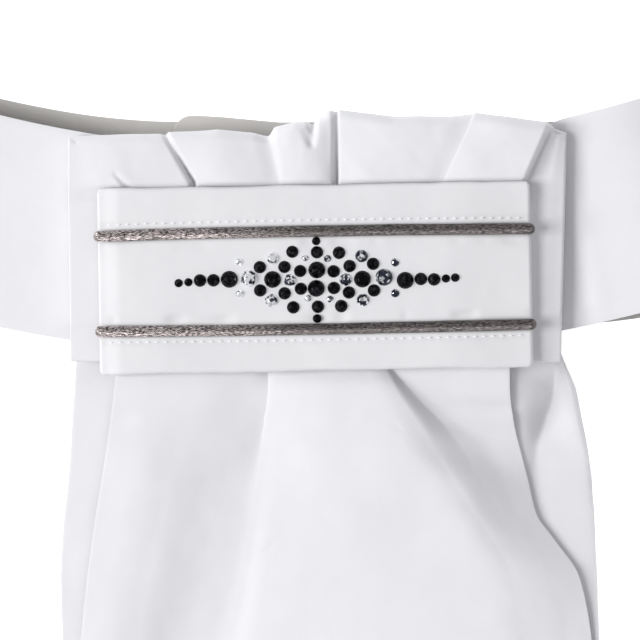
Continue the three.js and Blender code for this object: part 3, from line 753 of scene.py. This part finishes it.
# Each line: its share of the way across, where it runs, and how far it is above the level of its tail.
LOWER_TAIL = (
    ("left edge", 0.0, (-52.4, -53.1, -53.4, -53.9, -54.3, -54.9, -55.7, -56.2, -56.6, -56.4, -57.5, -61.5),
     (0, 0, 0.6, 1.0, 1.3, 1.5, 1.5, 1.4, 1.2, 0.8, 0.3, 0)),
    ("under the left shoulder", 0.2, (-30, -29, -28, -28, -30, -33, -35, -37, -39, -42, -47, -51),
     (0, 0, 1.2, 1.6, 1.8, 2.0, 2.0, 1.9, 1.4, 0.8, 0.3, 0)),
    ("under the left valley", 0.34, (-14, -13, -12, -12.5, -14, -16.5, -19, -20.5, -22.5, -25.5, -32, -38),
     (0.1, 0, -0.2, -1.0, -1.3, -1.2, -1.3, -1.3, -1.4, -0.6, 0, 0)),
    ("under the middle fold", 0.44, (-2, -2, -2, -2, -3, -5, -8, -10, -12, -14, -18, -24),
     (0, 0, 0.4, -0.1, -0.6, -0.8, -0.9, -0.9, -1.0, -0.4, 0, 0)),
    ("under the flap", 0.61, (20, 21, 24.5, 29, 33.5, 36.5, 40.5, 44, 48, 51, 53, 55),
     (0, -0.2, -2.0, -5.0, -6.4, -3.9, -3.3, -2.6, -1.6, -1.1, 0, 0)),
    ("before the roll", 0.72, (32, 40, 44.0, 44.8, 45.6, 45.8, 47.4, 50.2, 54.4, 57, 59, 61),
     (0, -0.6, -2.4, -5.6, -7.5, -7.3, -6.4, -5.4, -3.7, -2.3, -0.2, 0)),
    ("foot of the roll", 0.80, (43, 52.6, 52.6, 51.0, 49.3, 48.8, 50.2, 53.0, 57.0, 59.2, 61, 63),
     (0, -3.6, -7.6, -10.2, -8.7, -7.9, -7.0, -6.0, -4.5, -2.6, -0.3, 0)),
    ("top of the roll", 0.95, (51, 54.2, 56.1, 57.5, 58.9, 59.9, 60.6, 61.0, 61.4, 61.9, 63.6, 66.8),
     (0.3, -3.8, -7.4, -9.2, -8.7, -8.7, -8.0, -6.9, -5.3, -2.8, -0.3, 0.1)),
    ("right side", 1.0, (51.6, 54.8, 57.3, 58.8, 60.2, 61.1, 61.7, 61.9, 62.3, 62.8, 64.5, 68),
     (0, -4.2, -7.9, -9.6, -9.0, -9.1, -8.2, -7.0, -5.4, -2.8, -0.4, 0)),
)
UPPER_TAIL = (
    ("left edge", 0.0, (-43, -43.9, -44.5, -45.4, -46.4, -47.5, -48.7, -49.6, -50.7, -52.1, -55.5, -60),
     (0, 1.5, 2.2, 2.9, 3.2, 3.2, 3.0, 2.8, 2.4, 1.8, 1.1, 0.5)),
    ("left border", 0.07, (-36, -36.4, -36.8, -37.6, -38.4, -39.6, -40.8, -42, -43.6, -45.6, -49.8, -54.8),
     (0.7, 2.2, 2.5, 3.1, 3.5, 3.6, 3.5, 3.3, 2.8, 2.2, 1.5, 0.9)),
    ("left shoulder", 0.16, (-27, -26.5, -26.5, -29, -31, -32.5, -34, -35.5, -37, -39.5, -44.5, -49.5),
     (0.9, 2.3, 2.4, 2.5, 2.7, 3.0, 2.9, 2.7, 2.3, 1.8, 1.1, 0.7)),
    ("left valley", 0.30, (-12.5, -13.5, -14.5, -16.5, -18.5, -20.5, -22, -23, -24.5, -28, -34, -40),
     (0.7, 1.6, 1.2, 0.7, 0.7, 0.6, 0.5, 0.3, -0.2, -0.3, 0.0, 0.1)),
    ("foot of the fold", 0.345, (-10.6, -10.6, -10.7, -11.7, -13.1, -14.6, -15.8, -17.0, -18.8, -22.6, -28.5, -34),
     (0.2, 0.4, 0.9, -0.1, -0.3, -0.1, -0.1, -0.2, -0.5, -0.5, 0.0, 0.1)),
    ("front of the fold", 0.38, (-10.0, -10.0, -10.1, -11.0, -11.8, -12.5, -13.4, -14.4, -15.8, -18.6, -24, -30),
     (0.6, 0.9, 1.2, 0.15, -0.1, 0.1, 0.1, 0.0, -0.2, -0.1, 0.4, 0.4)),
    ("middle fold", 0.42, (-8.0, -8.1, -8.2, -8.4, -8.5, -8.8, -9.6, -10.4, -11.6, -13.6, -18.5, -24.5),
     (1.0, 1.4, 1.7, 0.6, 0.4, 0.6, 0.7, 0.7, 0.7, 1.0, 1.2, 0.9)),
    ("crown", 0.54, (2, 2.5, 3.5, 4.2, 5, 6, 7.4, 8.6, 10, 12, 14, 16),
     (1.3, 1.6, 2.9, 2.0, 1.6, 1.7, 1.7, 1.7, 1.8, 2.0, 1.8, 1.4)),
    ("right shoulder", 0.62, (11.0, 11.2, 13.2, 16, 19.5, 25.0, 29.5, 33.5, 38.5, 41, 44, 46),
     (1.1, 1.6, 2.8, 1.8, 1.4, 1.5, 1.2, 1.0, 0.9, 0.9, 1.3, 1.3)),
    ("crown's right side", 0.70, (13.2, 14.6, 17.2, 22.0, 26.4, 31, 35.5, 39.5, 44, 47, 50, 52),
     (0.8, 1.0, 2.3, 0.9, -0.3, 0.6, 0.0, -0.3, -0.1, -0.1, 0.8, 1.2)),
    ("under the crown", 0.77, (15.2, 16.6, 20.4, 27.2, 32.8, 36.8, 40.8, 44.4, 49, 52, 55, 57),
     (0.3, 0.2, -0.6, -3.2, -3.9, -2.4, -2.7, -2.2, -1.4, -0.9, 0.4, 0.9)),
    ("flap", 0.88, (25, 25.6, 26.0, 32.4, 38.0, 41.5, 44.7, 48.5, 53.5, 56, 59, 61.5),
     (0.5, 0.5, -1.0, -4.2, -6.1, -5.1, -4.8, -4.1, -2.9, -1.8, 0.1, 0.7)),
    ("right edge", 1.0, (42, 42.6, 42.7, 43.6, 45.2, 46.9, 48.6, 52.8, 58.2, 60.9, 63.5, 66),
     (0.4, 0.4, -1.4, -4.9, -7.7, -7.6, -6.7, -6.0, -4.6, -2.8, -0.1, 0.4)),
)
# Small wrinkles: ends of each, how far it reaches to either side and how deep it is.
UPPER_WRINKLES = (
    ((-52.0, -32.2), (-37.5, -30.6), 2.6, 0.45),
    ((27.0, -26.6), (52.0, -29.4), 2.4, 0.7),
    ((22.0, -31.0), (48.0, -35.0), 3.0, 0.35),
    ((15.6, -30.4), (19.6, -34.4), 1.3, 0.12),
    ((-12.2, -61.2), (-8.6, -57.4), 0.9, 0.18),
)
HEM_FROM_END = 8.0
UPPER_LIFT = 1.24


def tail_rows():
    rows = [mix(DOWN[0], FINE_ROWS_TO, i / 104) for i in range(104)]
    return rows + [mix(FINE_ROWS_TO, DOWN[-1], i / 44) for i in range(45)]


def make_tail(name, node, lines, lift, wrinkles, flat, seed):
    rows = tail_rows()
    columns = 176
    shares = [line[1] for line in lines]
    worked = []
    for down in rows:
        xs = [smooth_line(DOWN, line[2], down) for line in lines]
        rises = [smooth_line(DOWN, line[3], down) for line in lines]
        worked.append((xs, rises, smooth_line(DOWN, LOWER_LEVEL, down) + lift + TAIL_WALL / 2))

    def place(i, j):
        xs, rises, level = worked[j]
        y = -rows[j]
        x = smooth_line(shares, xs, i / columns)
        z = level + smooth_line(shares, rises, i / columns)
        soft = ease((rows[j] - 20) / 14)
        z += 0.10 * ripple(x, y, 13.0, seed) * soft + 0.05 * ripple(x, y, 4.0, seed + 1) * soft
        for start, end, reach, depth in wrinkles:
            away, share = along_segment(x, y, start, end)
            z -= depth * ease(1 - away / reach) * hump(share, 0.5, 0.5)
        z -= 0.2 * hump(rows[j], DOWN[-1] - HEM_FROM_END, 0.9)
        return x, y, max(z, TAIL_WALL / 2)

    piece = sheet_piece(name, columns, len(rows) - 1, place, flat, [WHITE_CLOTH])
    thicken(piece, TAIL_WALL, 0.35)
    dress(piece, "white_cloth", node)
    return piece


def make_tails():
    lower = make_tail("tail_lower_cloth", "tail_lower", LOWER_TAIL, 0.0, (), (125.0, 158.0), 51.0)
    upper = make_tail("tail_upper_cloth", "tail_upper", UPPER_TAIL, UPPER_LIFT, UPPER_WRINKLES,
                      (121.0, 158.0), 61.0)


# The table, the light and the camera.


def make_table():
    made = bmesh.new()
    bmesh.ops.create_grid(made, x_segments=2, y_segments=2, size=1.6)
    table = finished("table_top", made, [])
    finish = Finish("lit white table", Roughness=0.95, Specular_IOR_Level=0.1,
                    Emission_Color=(1, 1, 1, 1), Emission_Strength=0.6)
    place = finish.add("TexCoord").outputs["Object"]
    grain = finish.add("TexNoise", {"Vector": place, "Scale": 300.0}).outputs["Fac"]
    finish.into("Base Color", finish.colours(grain, 0.3, 0.7, (0.955, 0.955, 0.96), (0.975, 0.975, 0.98)))
    table.data.materials.append(finish.material)


def add_light(name, where, power, width, height):
    data = bpy.data.lights.new(name, "AREA")
    data.shape = "RECTANGLE"
    data.energy = power
    data.size, data.size_y = width, height
    light = bpy.data.objects.new(name, data)
    aim = at(0, -10, 10)
    spot = Vector(where) + Vector((aim.x, aim.y, 0))
    light.matrix_world = Matrix.Translation(spot) @ (aim - spot).to_track_quat("-Z", "Y").to_matrix().to_4x4()
    bpy.context.scene.collection.objects.link(light)


def light_the_table():
    add_light("large lamp at the left", (-3.95, -0.30, 3.95), 318.0, 2.0, 3.0)
    world = bpy.data.worlds.new("pale room")
    world.use_nodes = True
    world.node_tree.nodes["Background"].inputs["Color"].default_value = (0.97, 0.975, 1.0, 1)
    world.node_tree.nodes["Background"].inputs["Strength"].default_value = 0.60
    scene = bpy.context.scene
    scene.world = world
    scene.view_settings.view_transform = "Standard"


def add_camera():
    """Straight above, far enough off that what lies on the table isn't drawn much smaller."""
    across, away, picture_middle = 140.8, 2000.0, (0.79, -8.98)
    data = bpy.data.cameras.new("camera")
    data.sensor_width = 36.0
    data.lens = data.sensor_width * away / across
    camera = bpy.data.objects.new("camera", data)
    camera.location = at(picture_middle[0], picture_middle[1], 20.0 + away)
    bpy.context.scene.collection.objects.link(camera)
    bpy.context.scene.camera = camera


add_camera()
make_closure_pad()
make_neckband()
make_knot_panel()
make_knot_band()
for cord_node, cord_ends, cord_bow, cord_side in CORD_LINES:
    make_cord(cord_node, cord_ends, cord_bow)
    make_stitches(cord_node, cord_ends, cord_bow, cord_side)
for stone_number, stone_node in enumerate(sorted(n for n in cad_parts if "_stone_" in n)):
    make_stone(stone_node, stone_number)
make_tails()
make_table()
light_the_table()
